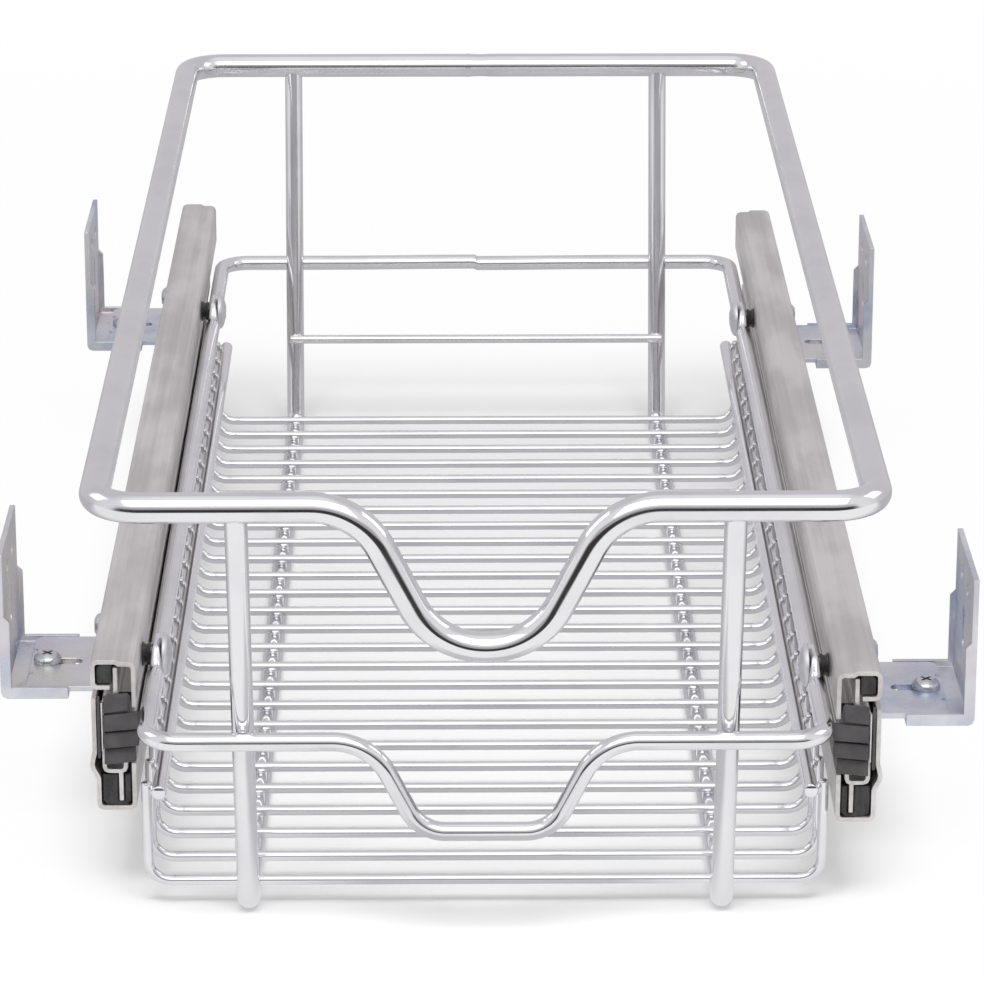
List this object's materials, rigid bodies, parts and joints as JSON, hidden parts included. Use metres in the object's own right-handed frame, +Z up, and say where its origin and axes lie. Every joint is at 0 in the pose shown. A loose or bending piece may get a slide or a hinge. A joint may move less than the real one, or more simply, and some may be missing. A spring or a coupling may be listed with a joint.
{
  "type": "pull out cabinet basket",
  "caption": "Chromed wire basket on two side-mounted telescopic ball slides, with adjustable angle brackets that screw to the sides of a kitchen cabinet.",
  "frame": {"origin": "under the middle of the whole part, on the plane that the two base wires stand on, with the basket pushed in", "axes": "+Z up, +Y from the front to the back of the cabinet, +X to the right seen from the front"},
  "size_m": [0.266, 0.495, 0.13],
  "materials": {
    "chrome_rod": "bright chrome plate on round steel rod",
    "slide_steel": "galvanised sheet, roll formed, with faint streaks along its length",
    "bracket_zinc": "bright zinc plate with a slight blue cast",
    "screw_steel": "bright zinc plate",
    "ball_steel": "polished",
    "black_plastic": "moulded, slightly glossy"
  },
  "bodies": {
    "cabinet_side": {"cabinet_member_left": "slide_steel", "cabinet_member_right": "slide_steel", "front_stop_left": "black_plastic", "front_stop_right": "black_plastic", "slide_plate_left_front": "bracket_zinc", "slide_plate_left_rear": "bracket_zinc", "slide_plate_right_front": "bracket_zinc", "slide_plate_right_rear": "bracket_zinc", "wall_angle_left_front": "bracket_zinc", "wall_angle_left_rear": "bracket_zinc", "wall_angle_right_front": "bracket_zinc", "wall_angle_right_rear": "bracket_zinc", "clamp_screws": "screw_steel", "clamp_nuts": "screw_steel", "bracket_bolts": "screw_steel"},
    "basket": {"rim": "chrome_rod", "runner_frame": "chrome_rod", "base_wire_left": "chrome_rod", "base_wire_right": "chrome_rod", "rear_crossbar": "chrome_rod", "floor_wires": "chrome_rod", "side_rod_left": "chrome_rod", "side_rod_right": "chrome_rod", "lug_spacers": "black_plastic", "lug_screws": "screw_steel", "top_member_left": "slide_steel", "top_member_right": "slide_steel", "top_block_left": "black_plastic", "top_block_right": "black_plastic"},
    "middle_left": {"middle_member_left": "slide_steel", "bumper_left": "black_plastic"},
    "upper_cage_body_left": {"upper_cage_left": "slide_steel", "upper_balls_left": "ball_steel"},
    "lower_cage_body_left": {"lower_cage_left": "slide_steel", "lower_balls_left": "ball_steel"},
    "middle_right": {"middle_member_right": "slide_steel", "bumper_right": "black_plastic"},
    "upper_cage_body_right": {"upper_cage_right": "slide_steel", "upper_balls_right": "ball_steel"},
    "lower_cage_body_right": {"lower_cage_right": "slide_steel", "lower_balls_right": "ball_steel"}
  },
  "joints": [
    {"name": "basket_slide", "type": "slide", "parent": "cabinet_side", "child": "basket", "axis": [0, -1, 0], "range_m": [0, 0.43]},
    {"name": "middle_left_slide", "type": "slide", "parent": "cabinet_side", "child": "middle_left", "axis": [0, -1, 0], "range_m": [0, 0.215]},
    {"name": "upper_cage_body_left_slide", "type": "slide", "parent": "cabinet_side", "child": "upper_cage_body_left", "axis": [0, -1, 0], "range_m": [0, 0.3225]},
    {"name": "lower_cage_body_left_slide", "type": "slide", "parent": "cabinet_side", "child": "lower_cage_body_left", "axis": [0, -1, 0], "range_m": [0, 0.1075]},
    {"name": "middle_right_slide", "type": "slide", "parent": "cabinet_side", "child": "middle_right", "axis": [0, -1, 0], "range_m": [0, 0.215]},
    {"name": "upper_cage_body_right_slide", "type": "slide", "parent": "cabinet_side", "child": "upper_cage_body_right", "axis": [0, -1, 0], "range_m": [0, 0.3225]},
    {"name": "lower_cage_body_right_slide", "type": "slide", "parent": "cabinet_side", "child": "lower_cage_body_right", "axis": [0, -1, 0], "range_m": [0, 0.1075]}
  ],
  "couplings": [
    {"joint": "middle_left_slide", "follows": "basket_slide", "ratio": 0.5},
    {"joint": "upper_cage_body_left_slide", "follows": "basket_slide", "ratio": 0.75},
    {"joint": "lower_cage_body_left_slide", "follows": "basket_slide", "ratio": 0.25},
    {"joint": "middle_right_slide", "follows": "basket_slide", "ratio": 0.5},
    {"joint": "upper_cage_body_right_slide", "follows": "basket_slide", "ratio": 0.75},
    {"joint": "lower_cage_body_right_slide", "follows": "basket_slide", "ratio": 0.25}
  ]
}
